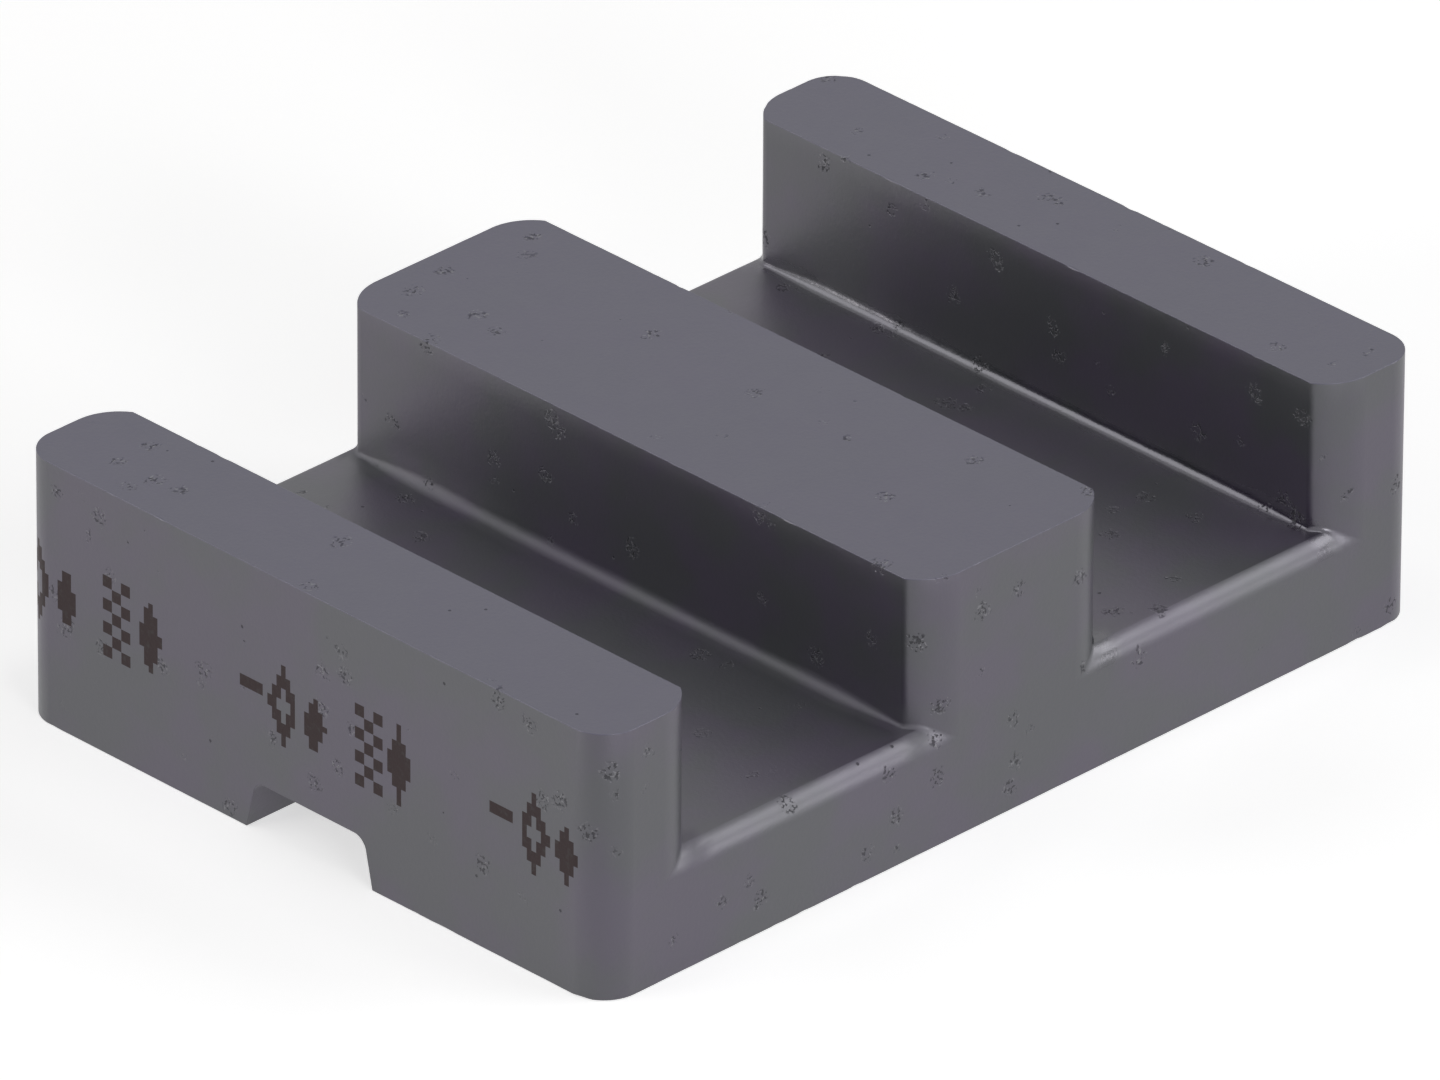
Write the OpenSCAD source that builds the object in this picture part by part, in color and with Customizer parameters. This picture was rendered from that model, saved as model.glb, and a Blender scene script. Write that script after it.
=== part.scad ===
// Planar E core of pressed and sintered power ferrite, in millimetres.
// The flat back lies on z = 0 and its three legs stand up from it, so +Z points at the mating half.
// X runs across the three legs and Y runs along them. The origin is the middle of the back's base.

/* [Legs and windows] */
// Width of each outer leg
outer_leg_w = 2.5; // [2:0.1:5]
// Width of the centre leg
centre_leg_w = 5; // [2:0.1:10]
// Width of each winding window, from an outer leg to the centre leg
window_w = 5.9; // [3:0.1:12]
// Depth of the winding windows, from the mating faces down to their floors
window_h = 3.2; // [2:0.1:8]

/* [Back] */
// Thickness of the back, from its base to the window floors
back_t = 2.5; // [1.8:0.1:5]
// Depth of the core from face to face, along the legs
core_w = 15.8; // [8:0.1:30]

/* [Roundings] */
// Radius of every upright corner of the legs
corner_r = 0.8; // [0.3:0.05:0.95]
// Radius where a window floor turns down into the two long faces
floor_edge_r = 0.4; // [0.1:0.05:0.8]
// Radius of the fillet between a window floor and a leg
fillet_r = 0.25; // [0.1:0.05:0.6]

/* [Clamp recesses] */
// Width of a recess along the end face, at the base
recess_w = 3.4; // [2:0.1:6]
// Height of a recess above the base
recess_h = 1.05; // [0.5:0.05:1.4]
// Reach of a recess into the back from the end face
recess_reach = 1.8; // [1:0.1:1.9]
// Draft of the recess walls, in degrees from upright
recess_draft = 13; // [3:1:20]
// Radius where the recess walls turn into its ceiling
recess_r = 0.3; // [0.1:0.05:0.4]

/* [Hidden] */
$fn = 96;
// Length of the core across its three legs
core_l = 2 * outer_leg_w + 2 * window_w + centre_leg_w;
// Height of the core, from its base to the mating faces
core_h = back_t + window_h;
// How far an outer leg's middle lies from the middle of the core
outer_leg_x = (core_l - outer_leg_w) / 2;
// How far a fillet's solid reaches into the leg beside it
fillet_sink = corner_r / 2;
// How far a cutter stands clear of the faces that it opens
cut_clear = 1;
ferrite_grey = [0.41, 0.40, 0.44];

// Plan of one leg, with its four upright corners rounded
module leg_plan(leg_w) {
    square([leg_w - 2 * corner_r, core_w], center = true);
    square([leg_w, core_w - 2 * corner_r], center = true);
    for (x = [-1, 1])
        for (y = [-1, 1])
            translate([x * (leg_w / 2 - corner_r), y * (core_w / 2 - corner_r)])
                circle(corner_r);
}

// One leg, from the base of the back to its mating face
module leg(leg_w) {
    linear_extrude(core_h)
        leg_plan(leg_w);
}

// Section of the back across its depth, rounded where the window floor meets the long faces
module back_section() {
    translate([-core_w / 2, 0])
        square([core_w, back_t - floor_edge_r]);
    translate([floor_edge_r - core_w / 2, 0])
        square([core_w - 2 * floor_edge_r, back_t]);
    for (y = [-1, 1])
        translate([y * (core_w / 2 - floor_edge_r), back_t - floor_edge_r])
            circle(floor_edge_r);
}

// Back between the middles of the outer legs
module back() {
    translate([-outer_leg_x, 0, 0])
        rotate([90, 0, 90])
            linear_extrude(2 * outer_leg_x)
                back_section();
}

// Section of a fillet: the leg's flank is at x = 0 and the window floor at y = 0
module fillet_section() {
    difference() {
        translate([-fillet_sink, -floor_edge_r])
            square([fillet_sink + fillet_r, floor_edge_r + fillet_r]);
        translate([fillet_r, fillet_r])
            circle(fillet_r);
    }
}

// Fillet along a flank that faces +X, between the leg's two rounded corners
module flank_fillet() {
    translate([0, core_w / 2 - corner_r, 0])
        rotate([90, 0, 0])
            linear_extrude(core_w - 2 * corner_r)
                fillet_section();
}

// Fillet around the leg's rounded corner that faces +X and +Y, cut off at the long face
module corner_fillet() {
    intersection() {
        translate([-corner_r, core_w / 2 - corner_r, 0])
            rotate_extrude(angle = 90)
                translate([corner_r, 0])
                    fillet_section();
        translate([-2 * corner_r, 0, -core_h])
            cube([4 * corner_r, core_w / 2, 2 * core_h]);
    }
}

// Fillet at the foot of one flank that faces +X, from long face to long face
module foot_fillet() {
    translate([0, 0, back_t]) {
        flank_fillet();
        corner_fillet();
        mirror([0, 1, 0])
            corner_fillet();
    }
}

// Section of a clamp recess: straight drafted walls that turn into a flat ceiling by arcs
module recess_section(mouth_w) {
    arc_x = mouth_w / 2 - (recess_h - recess_r) * tan(recess_draft) - recess_r / cos(recess_draft);
    arc_z = recess_h - recess_r;
    wall_x = arc_x + recess_r * cos(recess_draft);
    wall_z = arc_z + recess_r * sin(recess_draft);
    polygon([
        [-mouth_w / 2, -cut_clear],
        [mouth_w / 2, -cut_clear],
        [mouth_w / 2, 0],
        [wall_x, wall_z],
        [arc_x, recess_h],
        [-arc_x, recess_h],
        [-wall_x, wall_z],
        [-mouth_w / 2, 0]
    ]);
    for (side = [-1, 1])
        translate([side * arc_x, arc_z])
            circle(recess_r);
}

// Recess under the end face that faces +X, where a spring clamp hooks on
module clamp_recess() {
    translate([core_l / 2, 0, 0])
        intersection() {
            translate([-recess_w, 0, 0])
                rotate([90, 0, 90])
                    linear_extrude(2 * recess_w)
                        recess_section(recess_w);
            translate([0, recess_w, 0])
                rotate([90, 0, 0])
                    linear_extrude(2 * recess_w)
                        recess_section(2 * recess_reach);
        }
}

// The whole core, pressed as one piece
module core() {
    color(ferrite_grey)
        difference() {
            union() {
                back();
                leg(centre_leg_w);
                for (side = [0, 1])
                    mirror([side, 0, 0]) {
                        translate([outer_leg_x, 0, 0])
                            leg(outer_leg_w);
                        translate([centre_leg_w / 2, 0, 0])
                            foot_fillet();
                        translate([centre_leg_w / 2 + window_w, 0, 0])
                            mirror([1, 0, 0])
                                foot_fillet();
                    }
            }
            for (side = [0, 1])
                mirror([side, 0, 0])
                    clamp_recess();
        }
}

core();
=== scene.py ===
"""Looks of the ferrite E core: one pressed and sintered piece, its print, and a pale studio."""

import math

import bmesh
import bpy
from mathutils import Matrix, Vector, noise
from mathutils.kdtree import KDTree


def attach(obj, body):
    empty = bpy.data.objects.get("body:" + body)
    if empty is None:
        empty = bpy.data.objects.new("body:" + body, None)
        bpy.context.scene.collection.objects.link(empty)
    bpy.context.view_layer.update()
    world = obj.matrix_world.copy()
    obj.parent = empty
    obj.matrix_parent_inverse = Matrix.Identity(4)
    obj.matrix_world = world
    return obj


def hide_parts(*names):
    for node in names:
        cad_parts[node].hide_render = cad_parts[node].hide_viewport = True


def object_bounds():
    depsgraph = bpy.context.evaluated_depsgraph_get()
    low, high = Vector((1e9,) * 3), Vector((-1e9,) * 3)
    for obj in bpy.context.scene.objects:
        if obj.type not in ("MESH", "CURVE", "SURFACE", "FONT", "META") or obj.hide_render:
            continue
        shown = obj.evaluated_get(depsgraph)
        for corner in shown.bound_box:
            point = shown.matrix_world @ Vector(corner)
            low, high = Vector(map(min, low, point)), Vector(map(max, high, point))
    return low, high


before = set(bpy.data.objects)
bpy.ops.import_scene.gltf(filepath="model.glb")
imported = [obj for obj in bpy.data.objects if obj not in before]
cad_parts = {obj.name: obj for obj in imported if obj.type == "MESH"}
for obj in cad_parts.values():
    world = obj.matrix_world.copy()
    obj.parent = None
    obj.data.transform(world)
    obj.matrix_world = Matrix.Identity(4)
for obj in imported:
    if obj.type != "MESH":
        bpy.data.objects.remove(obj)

CAD_LOW, CAD_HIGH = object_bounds()

# Sizes in millimetres. The outside comes from the frame, the rest from the core's own drawing.
MM = 0.001
HALF_X = CAD_HIGH.x / MM
HALF_Y = CAD_HIGH.y / MM
TOP_Z = CAD_HIGH.z / MM
OUTER_LEG = 2.5
CENTRE_LEG = 5.0
FLOOR_Z = 2.5
CORNER_R = 0.8
INNER_X = HALF_X - OUTER_LEG
CENTRE_X = CENTRE_LEG / 2
EDGE_X = HALF_X - CORNER_R
EDGE_Y = HALF_Y - CORNER_R

# Fillets at the foot of the flanks: the flanks that face left have the wide ones. They narrow
# towards the corners over FILLET_FADE, and swell and shrink along the flank.
FILLET_R = 0.25
SMALL_FILLET_R = 0.08
CORNER_FILLET_R = 0.1
SMALL_CORNER_FILLET_R = 0.05
FILLET_FADE = 1.8
SLOW_SWELL, SLOW_SWELL_SIZE = 0.12, 1.6
QUICK_SWELL, QUICK_SWELL_SIZE = 0.10, 0.4

# The legs' inner corners leave the flank at a crease and run out into the long face
CREASE_DEPTH = 0.3
CREASE_TURN = math.radians(33)
CREASE_FADE_OUT = 0.4
CREASE_FADE_IN = 0.6

# The floor's open edges start at a crease and turn down into the long faces
EDGE_REACH = 0.3
EDGE_FIRST = math.radians(26)
EDGE_LAST = math.radians(88)
EDGE_R = EDGE_REACH / (math.sin(EDGE_LAST) - math.sin(EDGE_FIRST))

# Clamp recess under each end
RECESS_HALF = 1.7
RECESS_H = 1.05
RECESS_REACH = 1.8
RECESS_DRAFT = math.radians(13)
RECESS_R = 0.3
RECESS_TURN_R = 0.3

# The break of the sharp edges, which the waves widen and narrow, and its chips
EDGE_BREAK = 0.012
SHARP_TURN = math.radians(28)
BREAK_SEGMENTS = 3
CHIP_SIZE, CHIP_SEED = 0.45, 21
CHIP_LEVEL = 0.38
CHIP_GROWTH = 9

# Unevenness as (height or share, size, seed)
FLOOR_WAVES = [(0.004, 2.2, 5), (0.0015, 0.7, 9)]
BREAK_WAVES = [(0.35, 0.9, 2), (0.3, 0.3, 8)]

# How smooth the punch left the fillets and the floor's edges: below 0 is rougher than the faces
RIGHT_FINISH = 1.0
LEFT_FINISH = -1.1
EDGE_FINISH = 0.1
FINISH_TOP = 0.32
FINISH_TOP_FADE = 0.1
FINISH_REACH = 1.15 * FILLET_R
FINISH_FADE = 0.05
FINISH_BOTTOM_Z = 1.5
FACE_SKIN = 0.004

# Print on the left end face: rows of dots, repeated along the leg by the printer's wheel
DOT = 0.125
PRINT_LOW = 2.125
PRINT_ROWS = 14
PRINT_REPEAT = 6.75
PRINT_START = 1.85
PRINT_WRAP = 5

# The marks' starts and ends along one repeat, and their sizes as shares of half the print's height
DASH_END = 0.62
DASH_TOP = 0.29
HOLLOW_LOZENGE = (0.78, 1.53)
HOLLOW_INSIDE, HOLLOW_OUTSIDE = 0.5, 1.08
SMALL_LOZENGE = (1.68, 2.3)
SMALL_LOZENGE_MIDDLE, SMALL_LOZENGE_TALL = -0.1, 0.8
CHECKED_BLOCK = (3.05, 3.8)
CHECK_WIDE, CHECK_TALL = 0.25, 0.28
TALL_LOZENGE = (3.945, 4.605)

# How finely the round stretches and the straight ones are divided. Past CUT_TURN a corner's
# fillet may be cut off by the long face; TINY is no difference; MERGE joins equal places.
CORNER_STEPS = 12
FILLET_STEPS = 8
ROUNDING_STEPS = 8
LEDGE_STEPS = 5
RECESS_STEPS = 6
RECESS_TURN_STEPS = 5
WALL_LEVELS = 6
ROW_STEP = 0.1
FLOOR_COLUMNS = 24
CUT_TURN = 0.3
TINY = 1e-6
MERGE = 2e-4

# Colours, linear
VIOLET_GREY = (0.034, 0.025, 0.048, 1)
GREEN_GREY = (0.024, 0.028, 0.028, 1)
TOP_VIOLET = (0.011, 0.0095, 0.041, 1)
DUST_GREY = (0.045, 0.044, 0.05, 1)
RIM_GREY = (0.17, 0.17, 0.18, 1)
# the pits' near-black is painted shade inside the hollows
PIT_SHADE_BLACK = (0.004, 0.004, 0.005, 1)
INK_BROWN = (0.020, 0.009, 0.010, 1)
INK_THIN = (0.03, 0.022, 0.023, 1)
TABLE_WHITE = (0.85, 0.85, 0.85, 1)
WHITE = (1, 1, 1, 1)

# Ferrite's surface: sizes of the patterns in millimetres and how strongly they show
FERRITE_GLOSS = (0.93, 0.91, 1.0, 1)
FERRITE_IOR = 1.93
FERRITE_ROUGHNESS = 0.4
BURNISH_DROP = 0.17
MOTTLE_SIZE = 2.6
POLISH_SIZE, POLISH_RANGE = 0.8, 0.07
GRAIN_SIZE, GRAIN_DUST, GRAIN_HEIGHT = 0.09, 0.35, 0.2
GROUND_DEPTH, GROUND_SHARE = 0.03, 0.85
CLUSTER_GAP = 0.95
CLUSTER_WARP_SIZE, CLUSTER_WARP = 0.2, 0.3
LONE_PIT_GAP = 0.45
PIT_SIZE = 0.075
FINE = (3.0, 0.6)

# Where patterns start and end, as levels of the noise or shares of a cell
MOTTLE_BAND = (0.38, 0.62)
CLUSTER_LUCK = (0.34, 0.38)
CLUSTER_REACH = (0.40, 0.30)
PIT_BAND = (0.54, 0.60)
RIM_BAND = (0.60, 0.66)
LONE_PIT_LUCK = (0.86, 0.88)
LONE_PIT_REACH = (0.085, 0.06)
WORN_BAND = (0.5, 0.75)
PIT_SHIFT, RIM_SHIFT, POLISH_SHIFT = 4.0, 11.0, 7.0

# How strongly pits and rims change the surface; the pits' dark colour and dulled gloss are painted shade
PIT_SHADE, PIT_SHADE_DULL, PIT_ROUGH = 0.6, 0.38, 0.3
RIM_LIGHT, RIM_HEIGHT = 0.55, 0.3
PIT_DEPTH = 0.018

# Ink
INK_WEAR_SIZE = 0.16
INK_ROUGHNESS = 0.55
INK_IOR = 1.35
INK_RELIEF, INK_DEPTH = 0.5, 0.01

# Soft round lights: name, azimuth, elevation, size in metres, brightness and, on one, a tint
LAMP_DISTANCE = 0.3
LAMPS = [
    ("overhead", 0, 90, 0.20, 1.5),
    ("left_back", -140, 38, 0.16, 1.55),
    ("right_front", 50, 38, 0.16, 2.85),
    ("low_left", -115, 12, 0.14, 5.6, (1.03, 1.0, 0.98)),
    ("low_right", 25, 12, 0.14, 4.2),
    ("low_front", -20, 14, 0.12, 7.0),
]

# The table lies a hair below the core and is clear from below, so that the base can be looked at
TABLE_GLOW = 0.6
TABLE_GAP = 0.01
TABLE_HALF = 1.5
TABLE_ROUGHNESS = 0.9

# The photograph's view: angles in degrees, lengths in metres
VIEW_AZIMUTH, VIEW_ELEVATION, VIEW_ROLL = -44.796, 29.18, 0.305
VIEW_DISTANCE = 0.5
VIEW_WIDTH = 0.02736342
VIEW_RIGHT, VIEW_UP = 0.0000451116, -0.000211306
SENSOR_WIDTH = 36
VIEW_NEAR, VIEW_FAR = 0.01, 10


def steps(first, last, count):
    """count + 1 values spread evenly from first to last"""
    return [first + (last - first) * i / count for i in range(count + 1)]


def limited(value):
    """The value, held between 0 and 1"""
    return min(1.0, max(0.0, value))


class Skin:
    """Collects faces by their corners' places; equal places are merged at the end."""

    def __init__(self):
        self.mesh = bmesh.new()

    def face(self, points, material=0):
        kept = [p for i, p in enumerate(points) if (p - points[i - 1]).length > TINY]
        if len(kept) > 2:
            made = self.mesh.faces.new([self.mesh.verts.new(p) for p in kept])
            made.material_index = material

    def grid(self, rows):
        for low, high in zip(rows, rows[1:]):
            for i in range(len(low) - 1):
                self.face([low[i], low[i + 1], high[i + 1], high[i]])

    def merge(self):
        bmesh.ops.remove_doubles(self.mesh, verts=self.mesh.verts[:], dist=MERGE)
        bmesh.ops.dissolve_degenerate(self.mesh, edges=self.mesh.edges[:], dist=MERGE / 2)
        bmesh.ops.recalc_face_normals(self.mesh, faces=self.mesh.faces[:])


def edge_drop(distance):
    """How far the floor has come down at a distance from the long face"""
    if distance >= EDGE_REACH:
        return 0.0
    sine = math.sin(EDGE_FIRST) + (EDGE_REACH - distance) / EDGE_R
    return EDGE_R * (math.cos(EDGE_FIRST) - math.sqrt(1 - sine**2))


def edge_distances():
    """Distances from the long face at even turns of the floor's edge"""
    turns = steps(EDGE_FIRST, EDGE_LAST, ROUNDING_STEPS)[1:]
    return [EDGE_REACH - EDGE_R * (math.sin(t) - math.sin(EDGE_FIRST)) for t in turns]


def waviness(x, y, z, size, seed):
    """Smooth seeded noise from -1 to 1 with features of about that size"""
    return noise.noise(Vector((x, y, z)) / size + Vector((seed, 1.7 * seed, 0.3 * seed)))


def waves(x, y, z, terms):
    """The sum of several waves, each given as (height, size, seed)"""
    return sum(height * waviness(x, y, z, size, seed) for height, size, seed in terms)


class Foot:
    """The flank of one leg beside a window, and the fillet at its foot.

    u runs from the flank into the window, y along the legs. sign is the side on which the window lies.
    """

    def __init__(self, wall_x, sign, seed, fillet, corner_fillet):
        self.wall_x = wall_x
        self.sign = sign
        self.seed = seed
        self.fillet = fillet
        self.corner_fillet = corner_fillet
        self.path = self.make_path()

    def make_path(self):
        """(value, side) at each place along the leg's outline, from front to back.

        side is 0 on the straight flank, where value is y. It is -1 in the front corner and 1 in the
        back one, where value is the angle turned away from the flank.
        """
        reach = CORNER_R + self.corner_fillet
        distances = steps(CORNER_R, EDGE_REACH, LEDGE_STEPS) + edge_distances()
        angles = [math.asin((CORNER_R - max(0.0, d)) / reach) for d in distances]
        self.front_angle = angles[-1]
        angles += steps(self.front_angle, math.pi / 2, CORNER_STEPS // 2)[1:]
        count = round(2 * EDGE_Y / ROW_STEP)
        path = [(a, -1) for a in reversed(angles)]
        path += [(y, 0) for y in steps(-EDGE_Y, EDGE_Y, count)[1:-1]]
        path += [(a, 1) for a in angles]
        return path

    def radius(self, y):
        """Fillet radius: uneven along the flank, and smaller towards the ends"""
        inside = limited((EDGE_Y - abs(y)) / FILLET_FADE)
        fade = inside * (2 - inside)
        uneven = SLOW_SWELL * waviness(y, 0, 0, SLOW_SWELL_SIZE, self.seed)
        uneven += QUICK_SWELL * waviness(y, 3, 0, QUICK_SWELL_SIZE, self.seed)
        return self.corner_fillet + (self.fillet * (1 + uneven) - self.corner_fillet) * fade

    def creased_u(self, beyond):
        """u of the creased corner at a distance past the start of the plain round one"""
        start = CORNER_R * CREASE_DEPTH / (CORNER_R + self.corner_fillet)
        if beyond <= start:
            return 0.0
        radius = (CORNER_R - start) / (1 - math.sin(CREASE_TURN))
        rise = radius - CORNER_R + beyond
        return math.sqrt(max(0.0, radius**2 - rise**2)) - radius * math.cos(CREASE_TURN)

    def creased(self, point):
        """Moves a point from the plain round corner to the creased one, fading away from it"""
        beyond = abs(point.y) - EDGE_Y
        u = (point.x - self.wall_x) * self.sign
        if beyond <= 0 or not -CORNER_R - CREASE_FADE_IN < u < CREASE_FADE_OUT:
            return point
        beyond = min(beyond, CORNER_R)
        plain = math.sqrt(CORNER_R**2 - beyond**2) - CORNER_R
        away = (u - plain) / CREASE_FADE_OUT if u > plain else (plain - u) / CREASE_FADE_IN
        away = min(1.0, away)
        share = 1 - away * away * (3 - 2 * away)
        return point + Vector((self.sign * (self.creased_u(beyond) - plain) * share, 0, 0))

    def floor_point(self, u, y, rise):
        """A point on the window's floor, or above it by rise"""
        x = self.wall_x + self.sign * u
        z = FLOOR_Z + rise - edge_drop(HALF_Y - abs(y)) + waves(x, y, 0, FLOOR_WAVES)
        return Vector((x, y, z))

    def flank_band(self, y):
        """Points up the fillet beside the straight flank"""
        radius = self.radius(y)
        turns = steps(0, math.pi / 2, FILLET_STEPS)
        return [
            self.floor_point(radius * (1 - math.sin(t)), y, radius * (1 - math.cos(t)))
            for t in turns
        ]

    def corner_band(self, angle, side):
        """Points up the fillet around a corner, cut off where it reaches the long face"""
        radius = self.corner_fillet
        limit = radius
        if angle > CUT_TURN:
            limit = min(radius, CORNER_R / math.sin(angle) - CORNER_R)
        points = []
        for t in steps(math.asin(1 - limit / radius), math.pi / 2, FILLET_STEPS):
            arm = CORNER_R + radius * (1 - math.sin(t))
            y = side * min(HALF_Y, EDGE_Y + arm * math.sin(angle))
            u = arm * math.cos(angle) - CORNER_R
            points.append(self.floor_point(u, y, radius * (1 - math.cos(t))))
        return points

    def bands(self):
        """Points up the fillet, from the floor to the flank, at each place of the path"""
        return [
            self.corner_band(value, side) if side else self.flank_band(value)
            for value, side in self.path
        ]

    def outer_line(self, side):
        """Points along the long face from the leg's end to the floor's open edge"""
        ends = [(e, band) for e, band in zip(self.path, self.bands()) if e[1] == side]
        line = [band[0] for (angle, _), band in ends if angle > self.front_angle - TINY]
        return line if side < 0 else line[::-1]

    def wall_rows(self):
        """Points up the flank at each place of the path, from the fillet to the mating face"""
        feet = [points[-1] for points in self.bands()]
        shares = steps(0, 1, WALL_LEVELS)
        return [
            [Vector((foot.x, foot.y, foot.z + (TOP_Z - foot.z) * s)) for s in shares]
            for foot in feet
        ]


def make_feet():
    """The four flanks beside the windows, from left to right"""
    wide = (FILLET_R, CORNER_FILLET_R)
    narrow = (SMALL_FILLET_R, SMALL_CORNER_FILLET_R)
    return [
        Foot(-INNER_X, 1, 3, *narrow),
        Foot(-CENTRE_X, -1, 4, *wide),
        Foot(CENTRE_X, 1, 5, *narrow),
        Foot(INNER_X, -1, 6, *wide),
    ]


def window(skin, low_foot, high_foot):
    """Floor, fillets and flanks of one winding window; returns its edges in the two long faces"""
    low_bands, high_bands = low_foot.bands(), high_foot.bands()
    skin.grid(low_bands)
    skin.grid(high_bands)
    skin.grid(low_foot.wall_rows())
    skin.grid(high_foot.wall_rows())
    rows = []
    for entry, low, high in zip(low_foot.path, low_bands, high_bands):
        value, side = entry
        if side and value > low_foot.front_angle + TINY:
            continue
        start, end = low[0], high[0]
        row = [start]
        for share in steps(0, 1, FLOOR_COLUMNS)[1:-1]:
            x = start.x + (end.x - start.x) * share
            row.append(low_foot.floor_point((x - low_foot.wall_x) * low_foot.sign, start.y, 0))
        rows.append(row + [end])
    skin.grid(rows)
    fronts = low_foot.outer_line(-1) + rows[0][1:-1] + high_foot.outer_line(-1)[::-1]
    backs = low_foot.outer_line(1) + rows[-1][1:-1] + high_foot.outer_line(1)[::-1]
    return fronts, backs


def spread(points, step=ROW_STEP):
    """The corners of an outline with more points along its long stretches"""
    out = []
    for a, b in zip(points, points[1:]):
        count = max(1, round((b - a).length / step))
        out += [a + (b - a) * i / count for i in range(count)]
    return out + [points[-1]]


def arc(centre_x, centre_y, first, last, z, count=CORNER_STEPS, radius=CORNER_R):
    """Points on a level arc between two angles"""
    return [
        Vector((centre_x + radius * math.cos(a), centre_y + radius * math.sin(a), z))
        for a in steps(first, last, count)
    ]


def recess_levels():
    """(inset from the mouth's edge, height) up the wall of a clamp recess"""
    arc_z = RECESS_H - RECESS_R
    arc_inset = arc_z * math.tan(RECESS_DRAFT) + RECESS_R / math.cos(RECESS_DRAFT)
    levels = [(0.0, 0.0)]
    for turn in steps(RECESS_DRAFT, math.pi / 2, RECESS_STEPS):
        levels.append((arc_inset - RECESS_R * math.cos(turn), arc_z + RECESS_R * math.sin(turn)))
    return levels


def recess_contour(side, inset, z):
    """One level of a recess: in from the end face, round the inner corners and out again"""
    half = RECESS_HALF - inset
    turn_x = HALF_X - RECESS_REACH + inset + RECESS_TURN_R
    turn_y = half - RECESS_TURN_R
    points = [Vector((HALF_X, -half, z))]
    points += arc(turn_x, -turn_y, 1.5 * math.pi, math.pi, z, RECESS_TURN_STEPS, RECESS_TURN_R)
    points += arc(turn_x, turn_y, math.pi, 0.5 * math.pi, z, RECESS_TURN_STEPS, RECESS_TURN_R)
    points.append(Vector((HALF_X, half, z)))
    return [Vector((side * p.x, p.y, p.z)) for p in points]


def lozenge(place, height, span, middle=0.0, tall=1.0):
    """0 in the middle of a lozenge and 1 on its border"""
    centre = (span[0] + span[1]) / 2
    half = (span[1] - span[0]) / 2
    return abs(place - centre) / half + abs(height - middle) / tall


def mark(along, row):
    """True where a dot is printed; along is the distance in mm along the print, row counts upwards

    The marks are plain shapes: a dash, a hollow lozenge, a small solid one, a checked block and a
    tall solid lozenge.
    """
    place = (PRINT_START - along) % PRINT_REPEAT
    height = (row + 0.5) / PRINT_ROWS * 2 - 1
    if place < DASH_END:
        return 0.0 < height < DASH_TOP
    if HOLLOW_LOZENGE[0] < place < HOLLOW_LOZENGE[1]:
        return HOLLOW_INSIDE < lozenge(place, height, HOLLOW_LOZENGE) < HOLLOW_OUTSIDE
    if SMALL_LOZENGE[0] < place < SMALL_LOZENGE[1]:
        return lozenge(place, height, SMALL_LOZENGE, SMALL_LOZENGE_MIDDLE, SMALL_LOZENGE_TALL) < 1
    if CHECKED_BLOCK[0] < place < CHECKED_BLOCK[1]:
        column = int((place - CHECKED_BLOCK[0]) / CHECK_WIDE)
        return (column + int((height + 1) / CHECK_TALL)) % 2 == 0
    if TALL_LOZENGE[0] < place < TALL_LOZENGE[1]:
        return lozenge(place, height, TALL_LOZENGE) < 1
    return False


def print_levels():
    """Heights of the borders between the rows of dots"""
    return [PRINT_LOW + DOT * i for i in range(PRINT_ROWS + 1)]


def printed_strip(skin):
    """The band of the left end face that carries the print, one small face for each dot"""
    count = round(2 * EDGE_Y / DOT)
    columns = steps(-EDGE_Y, EDGE_Y, count)
    levels = print_levels()
    for row, (low, high) in enumerate(zip(levels, levels[1:])):
        for a, b in zip(columns, columns[1:]):
            corners = [Vector((-HALF_X, y, z)) for y, z in [(a, low), (b, low), (b, high), (a, high)]]
            skin.face(corners, 1 if mark((a + b) / 2, row) else 0)
    return columns


def end_face(skin, side):
    """One end of the core with its recess; returns the recess outline in the base"""
    contours = [recess_contour(side, inset, z) for inset, z in recess_levels()]
    skin.grid(contours)
    skin.face(contours[-1])
    low = [c[0] for c in contours]
    high = [c[-1] for c in reversed(contours)]
    x = side * HALF_X
    bottom = spread([Vector((x, -EDGE_Y, 0)), low[0]])[:-1] + low
    bottom += high[:-1] + spread([high[-1], Vector((x, EDGE_Y, 0))])
    top = spread([Vector((x, EDGE_Y, TOP_Z)), Vector((x, -EDGE_Y, TOP_Z))])
    if side > 0:
        skin.face(bottom + top)
        return contours[0]
    columns = printed_strip(skin)
    low_z, high_z = print_levels()[0], print_levels()[-1]
    skin.face(bottom + [Vector((x, c, low_z)) for c in reversed(columns)])
    skin.face([Vector((x, c, high_z)) for c in columns] + top)
    return contours[0]


def printed_corner(skin, low, sy):
    """A rounded corner of the left end, on which the print runs on"""
    levels = [0.0] + print_levels() + [TOP_Z]
    rows = [[Vector((p.x, p.y, z)) for p in low] for z in levels]
    arc_step = CORNER_R * math.pi / 2 / CORNER_STEPS
    for number, (bottom, top) in enumerate(zip(rows, rows[1:])):
        for i in range(CORNER_STEPS):
            # the arc runs on from the flat face at one end of the list
            from_face = CORNER_STEPS - i - 0.5 if sy > 0 else i + 0.5
            along = sy * (EDGE_Y + arc_step * from_face)
            inked = 0 < number <= PRINT_ROWS and from_face < PRINT_WRAP and mark(along, number - 1)
            skin.face([bottom[i], bottom[i + 1], top[i + 1], top[i]], 1 if inked else 0)


def rise_to_top(point, y):
    """Points between one at the foot of a leg and the mating face above it"""
    shares = steps(0, 1, WALL_LEVELS)[1:-1]
    return [Vector((point.x, y, point.z + (TOP_Z - point.z) * s)) for s in shares]


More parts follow.
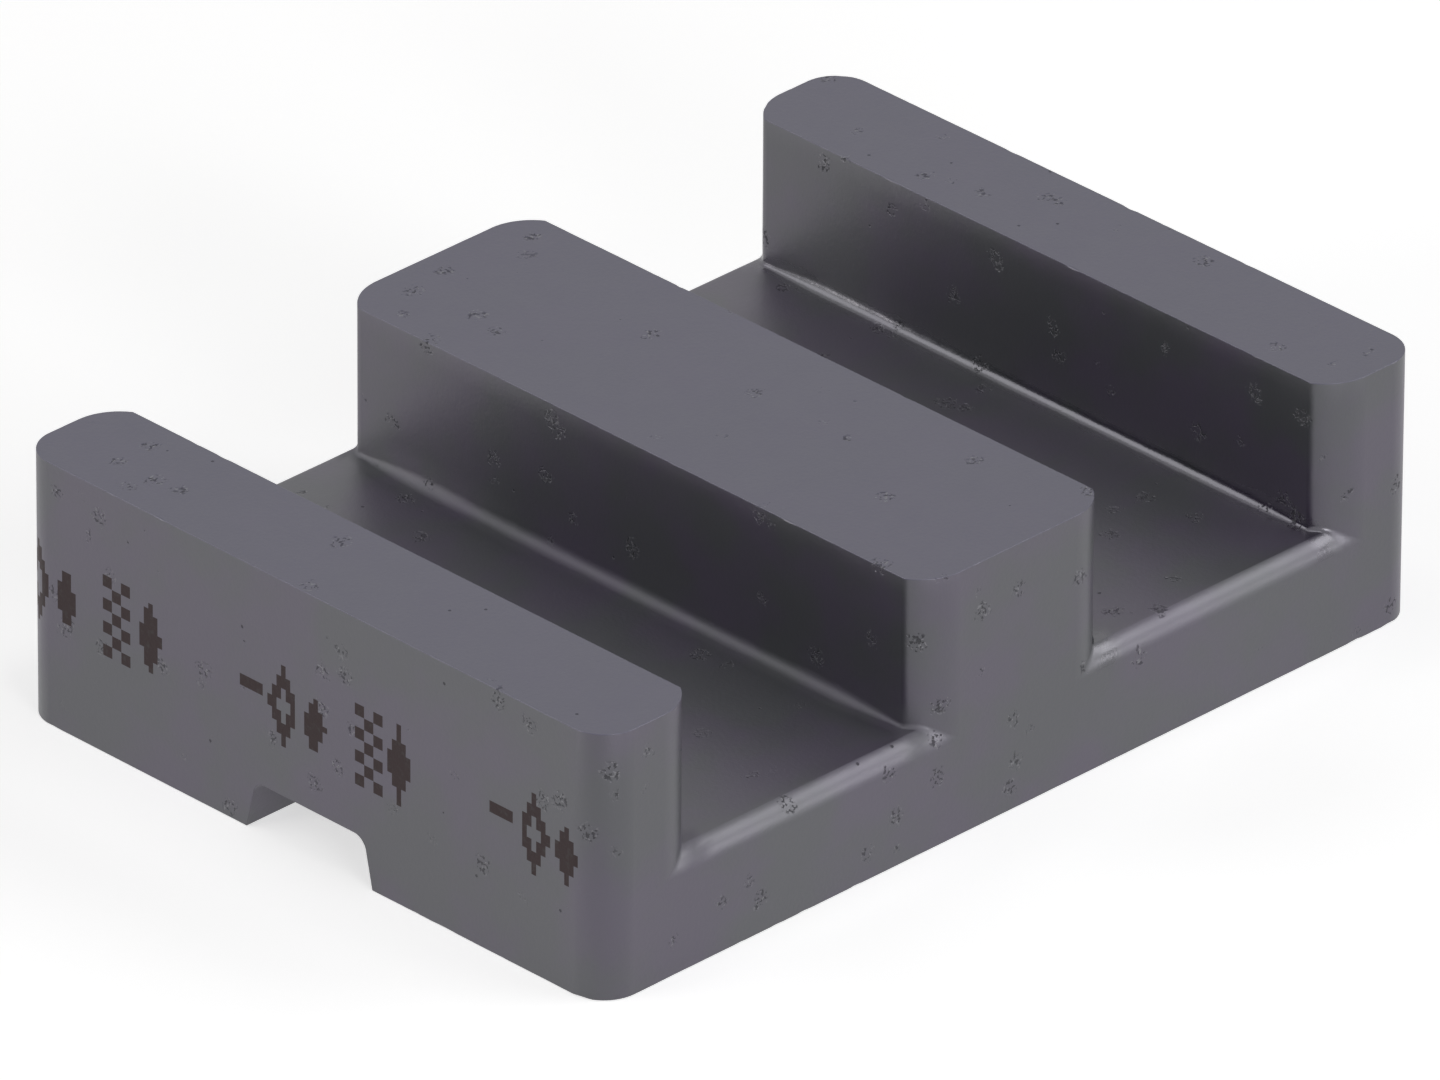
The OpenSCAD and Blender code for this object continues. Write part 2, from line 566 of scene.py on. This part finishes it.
def long_face(skin, y, edges):
    """A long face: E-shaped, along the base and up and down the legs.

    edges holds the windows' edges in this face, from left to right.
    """
    outline = spread([Vector((-EDGE_X, y, 0)), Vector((EDGE_X, y, 0))])
    outline += spread([Vector((EDGE_X, y, TOP_Z)), Vector((INNER_X + CORNER_R, y, TOP_Z))])
    leg_ends = [-EDGE_X, CORNER_R - CENTRE_X]
    for edge, leg_end in reversed(list(zip(edges, leg_ends))):
        left, right = edge[0], edge[-1]
        outline += rise_to_top(right, y)[::-1] + edge[::-1] + rise_to_top(left, y)
        outline += spread([Vector((left.x, y, TOP_Z)), Vector((leg_end, y, TOP_Z))])
    outline += [Vector((-EDGE_X, y, z)) for z in reversed(print_levels())]
    skin.face(outline)


def ends_and_base(skin):
    """The two ends with their rounded corners and recesses, and the base"""
    notches = {side: end_face(skin, side) for side in (1, -1)}
    base = []
    for number, (sx, sy) in enumerate([(1, -1), (1, 1), (-1, 1), (-1, -1)]):
        first = (number - 1) * math.pi / 2
        low = arc(sx * EDGE_X, sy * EDGE_Y, first, first + math.pi / 2, 0)
        if sx > 0:
            skin.grid([low, [Vector((p.x, p.y, TOP_Z)) for p in low]])
        else:
            printed_corner(skin, low, sy)
        base += low
        if sy == -sx:
            notch = notches[sx] if sx > 0 else notches[sx][::-1]
            base += spread([low[-1], notch[0]])[1:] + notch[1:]
            base += spread([notch[-1], Vector((sx * HALF_X, sx * EDGE_Y, 0))])[1:-1]
        else:
            base += spread([low[-1], Vector((-sx * EDGE_X, sy * HALF_Y, 0))])[1:-1]
    skin.face(base)


def end_outline(side):
    """The outline of the mating face around one end of the core"""
    turn = 0 if side > 0 else math.pi
    low = arc(side * EDGE_X, -side * EDGE_Y, turn - math.pi / 2, turn, TOP_Z)
    high = arc(side * EDGE_X, side * EDGE_Y, turn, turn + math.pi / 2, TOP_Z)
    x = side * HALF_X
    flat = spread([Vector((x, -side * EDGE_Y, TOP_Z)), Vector((x, side * EDGE_Y, TOP_Z))])
    return low + flat[1:-1] + high


def mating_face(skin, left, right):
    """The ground face on top of one leg; left and right are its flanks, or None at the core's ends"""
    ahead = [row[-1] for row in right.wall_rows()] if right else end_outline(1)
    back = [row[-1] for row in reversed(left.wall_rows())] if left else end_outline(-1)
    outline = spread([ahead[-1], back[0]])[:-1] + back[:-1]
    outline += spread([back[-1], ahead[0]])[:-1] + ahead[:-1]
    skin.face(outline)


def core_skin():
    """The whole outside of the core as one closed mesh in millimetres"""
    skin = Skin()
    feet = make_feet()
    windows = [window(skin, feet[0], feet[1]), window(skin, feet[2], feet[3])]
    for side, y in enumerate([-HALF_Y, HALF_Y]):
        long_face(skin, y, [edges[side] for edges in windows])
    ends_and_base(skin)
    mating_face(skin, None, feet[0])
    mating_face(skin, feet[1], feet[2])
    mating_face(skin, feet[3], None)
    skin.merge()
    for v in skin.mesh.verts:
        for foot in feet:
            v.co = foot.creased(v.co)
    return skin.mesh


def find_near(points):
    """A tree that finds the nearest of the points"""
    tree = KDTree(len(points))
    for i, p in enumerate(points):
        tree.insert(p, i)
    tree.balance()
    return tree


def break_edges(mesh):
    """Rounds off every sharp edge by a hair, more in some places than others"""
    sharp = [e for e in mesh.edges if len(e.link_faces) == 2 and e.calc_face_angle(0) > SHARP_TURN]
    starts = [v.co.copy() for v in {v for e in sharp for v in e.verts}]
    starts.sort(key=lambda p: (round(p.x, 4), round(p.y, 4), round(p.z, 4)))
    tree = find_near(starts)
    made = bmesh.ops.bevel(
        mesh, geom=sharp, offset=EDGE_BREAK, offset_type="OFFSET", segments=BREAK_SEGMENTS, profile=0.5,
        affect="EDGES", clamp_overlap=True,
    )
    for v in made["verts"]:
        start = starts[tree.find(v.co)[1]]
        if (v.co - start).length > 2 * EDGE_BREAK:
            continue
        chip = max(0.0, waviness(*start, CHIP_SIZE, CHIP_SEED) - CHIP_LEVEL)
        grow = 1 + waves(*start, BREAK_WAVES) + CHIP_GROWTH * chip
        v.co = start + (v.co - start) * grow


def burnish_at(x, y, z):
    """How smooth the punch left the surface there; 0 away from the fillets and the floor's edges"""
    near_floor = limited((FLOOR_Z + FINISH_TOP - z) / FINISH_TOP_FADE)
    if near_floor == 0 or z < FINISH_BOTTOM_Z or abs(y) > HALF_Y - FACE_SKIN:
        return 0.0
    finish = LEFT_FINISH if x < 0 else RIGHT_FINISH
    walls = (-INNER_X, -CENTRE_X) if x < 0 else (INNER_X, CENTRE_X)
    from_wall = min(abs(x - wall) for wall in walls)
    in_fillet = limited((FINISH_REACH - from_wall) / FINISH_FADE) * finish
    in_edge = min(1.0, (HALF_Y - abs(y)) / EDGE_REACH) if z > FLOOR_Z - EDGE_REACH else 0.0
    return near_floor * (in_fillet or EDGE_FINISH * math.sin(math.pi * in_edge))


def add_burnish(data):
    """Writes the burnish of each point where the ferrite's nodes can read it"""
    layer = data.attributes.new("burnish", "FLOAT", "POINT")
    for point in data.vertices:
        layer.data[point.index].value = burnish_at(*(c / MM for c in point.co))


def build_core():
    """The core's one piece, with its edges broken and its flat faces shaded flat"""
    mesh = core_skin()
    break_edges(mesh)
    for face in mesh.faces:
        face.smooth = True
    mesh.transform(Matrix.Scale(MM, 4))
    data = bpy.data.meshes.new("core_skin")
    mesh.to_mesh(data)
    mesh.free()
    add_burnish(data)
    piece = bpy.data.objects.new("core_skin", data)
    bpy.context.scene.collection.objects.link(piece)
    weighted = piece.modifiers.new("flat_faces_stay_flat", "WEIGHTED_NORMAL")
    weighted.keep_sharp = False
    weighted.weight = 100
    weighted.mode = "FACE_AREA"
    return piece


def towards(azimuth, elevation):
    """The direction from the core to a place; azimuth 0 is in front and -90 on the left"""
    turn, rise = math.radians(azimuth), math.radians(elevation)
    return Vector((math.sin(turn) * math.cos(rise), -math.cos(turn) * math.cos(rise), math.sin(rise)))


def camera():
    """The photograph's view: a long lens, from the front left and above"""
    azimuth, roll = math.radians(VIEW_AZIMUTH), math.radians(VIEW_ROLL)
    back = towards(VIEW_AZIMUTH, VIEW_ELEVATION)
    level = Vector((math.cos(azimuth), math.sin(azimuth), 0))
    upright = back.cross(level)
    right = level * math.cos(roll) + upright * math.sin(roll)
    up = upright * math.cos(roll) - level * math.sin(roll)
    data = bpy.data.cameras.new("camera")
    data.sensor_width = SENSOR_WIDTH
    data.lens = VIEW_DISTANCE * SENSOR_WIDTH / VIEW_WIDTH
    data.clip_start = VIEW_NEAR
    data.clip_end = VIEW_FAR
    made = bpy.data.objects.new("camera", data)
    centre = (CAD_LOW + CAD_HIGH) / 2
    place = centre + back * VIEW_DISTANCE - right * VIEW_RIGHT + up * VIEW_UP
    turn = Matrix((right, up, back)).transposed().to_4x4()
    made.matrix_world = Matrix.Translation(place) @ turn
    bpy.context.scene.collection.objects.link(made)
    bpy.context.scene.camera = made


class Nodes:
    """Short ways to add and join the nodes of one material or world"""

    def __init__(self, owner):
        owner.use_nodes = True
        self.tree = owner.node_tree
        self.shader = self.tree.nodes.get("Principled BSDF")

    def add(self, kind, settings=None, values=None, links=None):
        """A new node with its settings, its sockets' values, and links to its sockets"""
        node = self.tree.nodes.new(kind)
        for name, value in (settings or {}).items():
            setattr(node, name, value)
        for name, value in (values or {}).items():
            node.inputs[name].default_value = value
        for name, source in (links or {}).items():
            self.tree.links.new(source, node.inputs[name])
        return node

    def join(self, source, name):
        """Links a source to a socket of the shader"""
        self.tree.links.new(source, self.shader.inputs[name])

    def maths(self, operation, first, second):
        node = self.add("ShaderNodeMath", {"operation": operation})
        for socket, value in zip(node.inputs, (first, second)):
            if isinstance(value, (int, float)):
                socket.default_value = value
            else:
                self.tree.links.new(value, socket)
        return node.outputs[0]

    def times(self, first, second):
        return self.maths("MULTIPLY", first, second)

    def band(self, source, low, high):
        """0 below low, 1 above high and even between; the other way round where high is below low"""
        links = {"Value": source}
        values = {"From Min": low, "From Max": high}
        return self.add("ShaderNodeMapRange", {"interpolation_type": "SMOOTHSTEP"}, values, links).outputs[0]

    def millimetres(self):
        """The place on the object, in millimetres"""
        place = self.add("ShaderNodeTexCoord").outputs["Object"]
        node = self.add("ShaderNodeVectorMath", {"operation": "SCALE"}, {"Scale": 1 / MM}, {0: place})
        return node.outputs[0]

    def noise(self, place, size, detail=2.0, rough=0.5, shift=0.0):
        """Smooth noise with features of that size in millimetres"""
        values = {"Scale": 1 / size, "Detail": detail, "Roughness": rough}
        if shift:
            offset = {1: (shift, shift, shift)}
            moved = self.add("ShaderNodeVectorMath", {"operation": "ADD"}, offset, {0: place})
            place = moved.outputs[0]
        return self.add("ShaderNodeTexNoise", None, values, {"Vector": place}).outputs["Fac"]

    def cells(self, place, size):
        """Distance to the middle of the cell that the place lies in, as a share of the cell's size"""
        cell = self.add("ShaderNodeTexVoronoi", None, {"Scale": 1 / size}, {"Vector": place})
        return cell.outputs["Distance"]

    def luck(self, place, size, channel):
        """One random number for each cell"""
        cell = self.add("ShaderNodeTexVoronoi", None, {"Scale": 1 / size}, {"Vector": place})
        return self.add("ShaderNodeSeparateColor", None, None, {0: cell.outputs["Color"]}).outputs[channel]

    def mix(self, factor, first, second):
        """A colour between two"""
        node = self.add("ShaderNodeMix", {"data_type": "RGBA"})
        for index, value in ((0, factor), (6, first), (7, second)):
            if isinstance(value, (int, float, tuple)):
                node.inputs[index].default_value = value
            else:
                self.tree.links.new(value, node.inputs[index])
        return node.outputs[2]

    def bump(self, height, strength, depth):
        """Bends the shader's normal over a height; depth is in millimetres"""
        values = {"Strength": strength, "Distance": depth * MM}
        self.join(self.add("ShaderNodeBump", None, values, {"Height": height}).outputs[0], "Normal")


def clusters(nodes, place):
    """Small round patches, scattered over the faces, in which the pits lie"""
    warp = nodes.times(nodes.noise(place, CLUSTER_WARP_SIZE), CLUSTER_WARP)
    chosen = nodes.band(nodes.luck(place, CLUSTER_GAP, 0), *CLUSTER_LUCK)
    reach = nodes.maths("ADD", nodes.cells(place, CLUSTER_GAP), warp)
    return nodes.times(nodes.band(reach, *CLUSTER_REACH), chosen)


def dots(nodes, place, patches, low, high, shift):
    """Dots a few hundredths of a millimetre across, inside the patches"""
    return nodes.times(patches, nodes.band(nodes.noise(place, PIT_SIZE, 1.0, shift=shift), low, high))


def lone_pits(nodes, place):
    """Single pits between the clusters, in few of the cells"""
    single = nodes.band(nodes.cells(place, LONE_PIT_GAP), *LONE_PIT_REACH)
    return nodes.times(single, nodes.band(nodes.luck(place, LONE_PIT_GAP, 1), *LONE_PIT_LUCK))


def ferrite_colour(nodes, place, grain, pits, rims):
    """Violet and green-grey mottling, violet on the ground faces, with dust, light rims and painted shade in
    the pits
    """
    cloud = nodes.band(nodes.noise(place, MOTTLE_SIZE, 3.0, 0.55), *MOTTLE_BAND)
    level = nodes.add("ShaderNodeSeparateXYZ", None, None, {0: place}).outputs["Z"]
    ground = nodes.band(level, TOP_Z - GROUND_DEPTH, TOP_Z - GROUND_DEPTH / 6)
    colour = nodes.mix(cloud, VIOLET_GREY, GREEN_GREY)
    colour = nodes.mix(nodes.times(ground, GROUND_SHARE), colour, TOP_VIOLET)
    colour = nodes.mix(nodes.times(grain, GRAIN_DUST), colour, DUST_GREY)
    colour = nodes.mix(nodes.times(rims, RIM_LIGHT), colour, RIM_GREY)
    # painted shade: the pits are darkened towards near-black
    return nodes.mix(nodes.times(pits, PIT_SHADE), colour, PIT_SHADE_BLACK)


def ferrite_roughness(nodes, place, pits):
    """Semi-matt, a little uneven, changed by the burnish and rough in the pits"""
    polish = nodes.times(nodes.noise(place, POLISH_SIZE, *FINE, POLISH_SHIFT), POLISH_RANGE)
    burnish = nodes.add("ShaderNodeAttribute", {"attribute_name": "burnish"}).outputs["Fac"]
    rough = nodes.maths("ADD", polish, FERRITE_ROUGHNESS - POLISH_RANGE / 2)
    rough = nodes.maths("SUBTRACT", rough, nodes.times(burnish, BURNISH_DROP))
    return nodes.maths("ADD", rough, nodes.times(pits, PIT_ROUGH))


def material_ferrite():
    """Sintered ferrite: dark and semi-matt, with soft mottling, a fine grain and small pits"""
    made = bpy.data.materials.new("ferrite")
    nodes = Nodes(made)
    place = nodes.millimetres()
    grain = nodes.noise(place, GRAIN_SIZE, *FINE)
    patches = clusters(nodes, place)
    clustered = dots(nodes, place, patches, *PIT_BAND, PIT_SHIFT)
    pits = nodes.maths("MAXIMUM", clustered, lone_pits(nodes, place))
    rims = dots(nodes, place, patches, *RIM_BAND, RIM_SHIFT)
    nodes.join(ferrite_colour(nodes, place, grain, pits, rims), "Base Color")
    nodes.join(ferrite_roughness(nodes, place, pits), "Roughness")
    nodes.shader.inputs["IOR"].default_value = FERRITE_IOR
    # painted shade: the pits' gloss is dulled towards black
    nodes.join(nodes.mix(nodes.times(pits, PIT_SHADE_DULL), FERRITE_GLOSS, PIT_SHADE_BLACK), "Specular Tint")
    raised = nodes.maths("ADD", nodes.times(grain, GRAIN_HEIGHT), nodes.times(rims, RIM_HEIGHT))
    nodes.bump(nodes.maths("SUBTRACT", raised, pits), 1.0, PIT_DEPTH)
    return made


def material_ink():
    """Dark brown printing ink, thinner in places"""
    made = bpy.data.materials.new("ink")
    nodes = Nodes(made)
    place = nodes.millimetres()
    worn = nodes.band(nodes.noise(place, INK_WEAR_SIZE, *FINE), *WORN_BAND)
    nodes.join(nodes.mix(worn, INK_BROWN, INK_THIN), "Base Color")
    nodes.shader.inputs["Roughness"].default_value = INK_ROUGHNESS
    nodes.shader.inputs["IOR"].default_value = INK_IOR
    nodes.bump(nodes.noise(place, GRAIN_SIZE, *FINE), INK_RELIEF, INK_DEPTH)
    return made


def background_rays(nodes):
    """1 for the rays that show the background: from the camera, mirrored and through glass"""
    path = nodes.add("ShaderNodeLightPath")
    seen = nodes.maths("MAXIMUM", path.outputs["Is Camera Ray"], path.outputs["Is Glossy Ray"])
    return nodes.maths("MAXIMUM", seen, path.outputs["Is Transmission Ray"])


def material_table():
    """White, with a glow that only the background rays see, and clear from below"""
    made = bpy.data.materials.new("table")
    nodes = Nodes(made)
    nodes.shader.inputs["Base Color"].default_value = TABLE_WHITE
    nodes.shader.inputs["Roughness"].default_value = TABLE_ROUGHNESS
    nodes.shader.inputs["Specular IOR Level"].default_value = 0.0
    nodes.shader.inputs["Emission Color"].default_value = WHITE
    nodes.join(nodes.times(background_rays(nodes), TABLE_GLOW), "Emission Strength")
    below = nodes.add("ShaderNodeNewGeometry").outputs["Backfacing"]
    clear = nodes.add("ShaderNodeBsdfTransparent").outputs[0]
    links = {0: below, 1: nodes.shader.outputs[0], 2: clear}
    surface = nodes.add("ShaderNodeMixShader", None, None, links)
    nodes.tree.links.new(surface.outputs[0], nodes.tree.nodes["Material Output"].inputs["Surface"])
    return made


def lamp(name, azimuth, elevation, size, radiance, tint=(1, 1, 1)):
    """A round soft light that faces the core"""
    direction = towards(azimuth, elevation)
    data = bpy.data.lights.new(name, "AREA")
    data.shape = "DISK"
    data.size = size
    data.energy = radiance * (math.pi * size / 2) ** 2
    data.color = tint
    made = bpy.data.objects.new(name, data)
    made.location = direction * LAMP_DISTANCE
    made.rotation_euler = direction.to_track_quat("Z", "Y").to_euler()
    bpy.context.scene.collection.objects.link(made)


def white_world():
    """A white background that adds no light"""
    world = bpy.data.worlds.new("studio")
    bpy.context.scene.world = world
    nodes = Nodes(world)
    background = nodes.tree.nodes["Background"]
    background.inputs["Color"].default_value = WHITE
    nodes.tree.links.new(background_rays(nodes), background.inputs["Strength"])


def table():
    mesh = bmesh.new()
    bmesh.ops.create_grid(mesh, x_segments=1, y_segments=1, size=TABLE_HALF)
    data = bpy.data.meshes.new("table")
    mesh.to_mesh(data)
    mesh.free()
    data.materials.append(material_table())
    made = bpy.data.objects.new("table", data)
    made.location.z = -TABLE_GAP * MM
    bpy.context.scene.collection.objects.link(made)


bpy.context.scene.view_settings.view_transform = "Standard"
camera()
core = build_core()
core.data.materials.append(material_ferrite())
core.data.materials.append(material_ink())
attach(core, "root")
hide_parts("core")
white_world()
for settings in LAMPS:
    lamp(*settings)
table()
